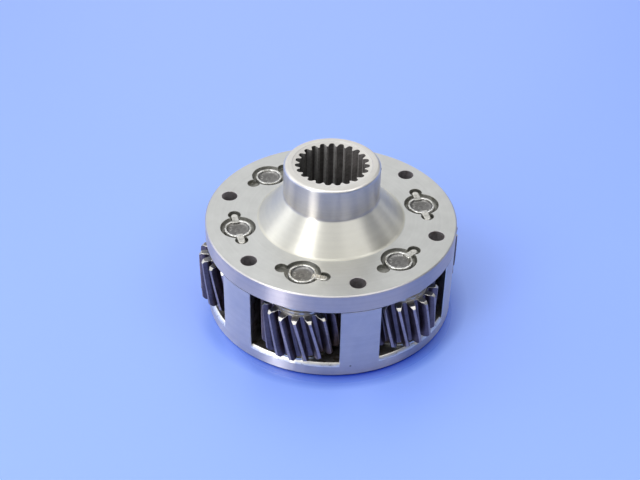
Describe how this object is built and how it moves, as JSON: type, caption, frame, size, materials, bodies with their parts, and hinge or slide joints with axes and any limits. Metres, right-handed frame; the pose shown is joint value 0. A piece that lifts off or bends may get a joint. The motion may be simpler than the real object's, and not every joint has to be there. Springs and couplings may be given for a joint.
{
  "type": "planetary gear carrier assembly",
  "caption": "Planetary gearbox carrier: a splined hub on a brazed flange and cage, with helical planet gears on staked pins meshing with a central sun gear.",
  "frame": {"origin": "centre of the cage's bottom face, on the common axis", "axes": "+Z along the common axis, towards the hub's splined end; +X through the axis of planet 1; planets 2 to 6 follow anticlockwise seen from +Z"},
  "size_m": [0.128, 0.12, 0.0778],
  "materials": {
    "turned_steel": "fine turned satin steel, slightly warm",
    "cage_steel": "fine machined satin steel",
    "gear_steel": "dark ground gear steel with bright worn tooth ends",
    "pin_steel": "hardened pin, dark dished end with a bright rim",
    "washer_steel": "flat ground steel",
    "bronze": "dull bearing bronze",
    "needle_steel": "polished bearing steel",
    "sun_steel": "dark ground gear steel",
    "spring_steel": "dark spring steel"
  },
  "bodies": {
    "carrier": {"carrier_flange_hub": "turned_steel", "carrier_cage": "cage_steel", "planet_pin_1": "pin_steel", "planet_pin_2": "pin_steel", "planet_pin_3": "pin_steel", "planet_pin_4": "pin_steel", "planet_pin_5": "pin_steel", "planet_pin_6": "pin_steel", "upper_steel_washer_1": "washer_steel", "lower_steel_washer_1": "washer_steel", "upper_steel_washer_2": "washer_steel", "lower_steel_washer_2": "washer_steel", "upper_steel_washer_3": "washer_steel", "lower_steel_washer_3": "washer_steel", "upper_steel_washer_4": "washer_steel", "lower_steel_washer_4": "washer_steel", "upper_steel_washer_5": "washer_steel", "lower_steel_washer_5": "washer_steel", "upper_steel_washer_6": "washer_steel", "lower_steel_washer_6": "washer_steel", "thrust_race": "washer_steel", "sun_retainer_plate": "washer_steel", "snap_ring": "spring_steel"},
    "sun": {"sun_gear": "sun_steel"},
    "thrust_needles": {"thrust_needle_cage": "needle_steel"},
    "planet_1": {"planet_gear_1": "gear_steel", "upper_bronze_washer_1": "bronze", "lower_bronze_washer_1": "bronze"},
    "needles_1": {"needle_roller_cage_1": "needle_steel"},
    "planet_2": {"planet_gear_2": "gear_steel", "upper_bronze_washer_2": "bronze", "lower_bronze_washer_2": "bronze"},
    "needles_2": {"needle_roller_cage_2": "needle_steel"},
    "planet_3": {"planet_gear_3": "gear_steel", "upper_bronze_washer_3": "bronze", "lower_bronze_washer_3": "bronze"},
    "needles_3": {"needle_roller_cage_3": "needle_steel"},
    "planet_4": {"planet_gear_4": "gear_steel", "upper_bronze_washer_4": "bronze", "lower_bronze_washer_4": "bronze"},
    "needles_4": {"needle_roller_cage_4": "needle_steel"},
    "planet_5": {"planet_gear_5": "gear_steel", "upper_bronze_washer_5": "bronze", "lower_bronze_washer_5": "bronze"},
    "needles_5": {"needle_roller_cage_5": "needle_steel"},
    "planet_6": {"planet_gear_6": "gear_steel", "upper_bronze_washer_6": "bronze", "lower_bronze_washer_6": "bronze"},
    "needles_6": {"needle_roller_cage_6": "needle_steel"}
  },
  "joints": [
    {"name": "sun_spin", "type": "hinge", "parent": "carrier", "child": "sun", "pos_m": [0, 0, 0.0218], "axis": [0, 0, 1], "continuous": true},
    {"name": "thrust_needle_spin", "type": "hinge", "parent": "carrier", "child": "thrust_needles", "pos_m": [0, 0, 0.0361], "axis": [0, 0, 1], "continuous": true},
    {"name": "planet_1_spin", "type": "hinge", "parent": "carrier", "child": "planet_1", "pos_m": [0.045, 0, 0.0218], "axis": [0, 0, 1], "continuous": true},
    {"name": "needles_1_spin", "type": "hinge", "parent": "carrier", "child": "needles_1", "pos_m": [0.045, 0, 0.0226], "axis": [0, 0, 1], "continuous": true},
    {"name": "planet_2_spin", "type": "hinge", "parent": "carrier", "child": "planet_2", "pos_m": [0.0225, 0.03897, 0.0218], "axis": [0, 0, 1], "continuous": true},
    {"name": "needles_2_spin", "type": "hinge", "parent": "carrier", "child": "needles_2", "pos_m": [0.0225, 0.03897, 0.0226], "axis": [0, 0, 1], "continuous": true},
    {"name": "planet_3_spin", "type": "hinge", "parent": "carrier", "child": "planet_3", "pos_m": [-0.0225, 0.03897, 0.0218], "axis": [0, 0, 1], "continuous": true},
    {"name": "needles_3_spin", "type": "hinge", "parent": "carrier", "child": "needles_3", "pos_m": [-0.0225, 0.03897, 0.0226], "axis": [0, 0, 1], "continuous": true},
    {"name": "planet_4_spin", "type": "hinge", "parent": "carrier", "child": "planet_4", "pos_m": [-0.045, 0, 0.0218], "axis": [0, 0, 1], "continuous": true},
    {"name": "needles_4_spin", "type": "hinge", "parent": "carrier", "child": "needles_4", "pos_m": [-0.045, 0, 0.0226], "axis": [0, 0, 1], "continuous": true},
    {"name": "planet_5_spin", "type": "hinge", "parent": "carrier", "child": "planet_5", "pos_m": [-0.0225, -0.03897, 0.0218], "axis": [0, 0, 1], "continuous": true},
    {"name": "needles_5_spin", "type": "hinge", "parent": "carrier", "child": "needles_5", "pos_m": [-0.0225, -0.03897, 0.0226], "axis": [0, 0, 1], "continuous": true},
    {"name": "planet_6_spin", "type": "hinge", "parent": "carrier", "child": "planet_6", "pos_m": [0.0225, -0.03897, 0.0218], "axis": [0, 0, 1], "continuous": true},
    {"name": "needles_6_spin", "type": "hinge", "parent": "carrier", "child": "needles_6", "pos_m": [0.0225, -0.03897, 0.0226], "axis": [0, 0, 1], "continuous": true}
  ],
  "couplings": [
    {"joint": "thrust_needle_spin", "follows": "sun_spin", "ratio": 0.5},
    {"joint": "planet_1_spin", "follows": "sun_spin", "ratio": -1.6471},
    {"joint": "needles_1_spin", "follows": "sun_spin", "ratio": -0.96947},
    {"joint": "planet_2_spin", "follows": "sun_spin", "ratio": -1.6471},
    {"joint": "needles_2_spin", "follows": "sun_spin", "ratio": -0.96947},
    {"joint": "planet_3_spin", "follows": "sun_spin", "ratio": -1.6471},
    {"joint": "needles_3_spin", "follows": "sun_spin", "ratio": -0.96947},
    {"joint": "planet_4_spin", "follows": "sun_spin", "ratio": -1.6471},
    {"joint": "needles_4_spin", "follows": "sun_spin", "ratio": -0.96947},
    {"joint": "planet_5_spin", "follows": "sun_spin", "ratio": -1.6471},
    {"joint": "needles_5_spin", "follows": "sun_spin", "ratio": -0.96947},
    {"joint": "planet_6_spin", "follows": "sun_spin", "ratio": -1.6471},
    {"joint": "needles_6_spin", "follows": "sun_spin", "ratio": -0.96947}
  ]
}
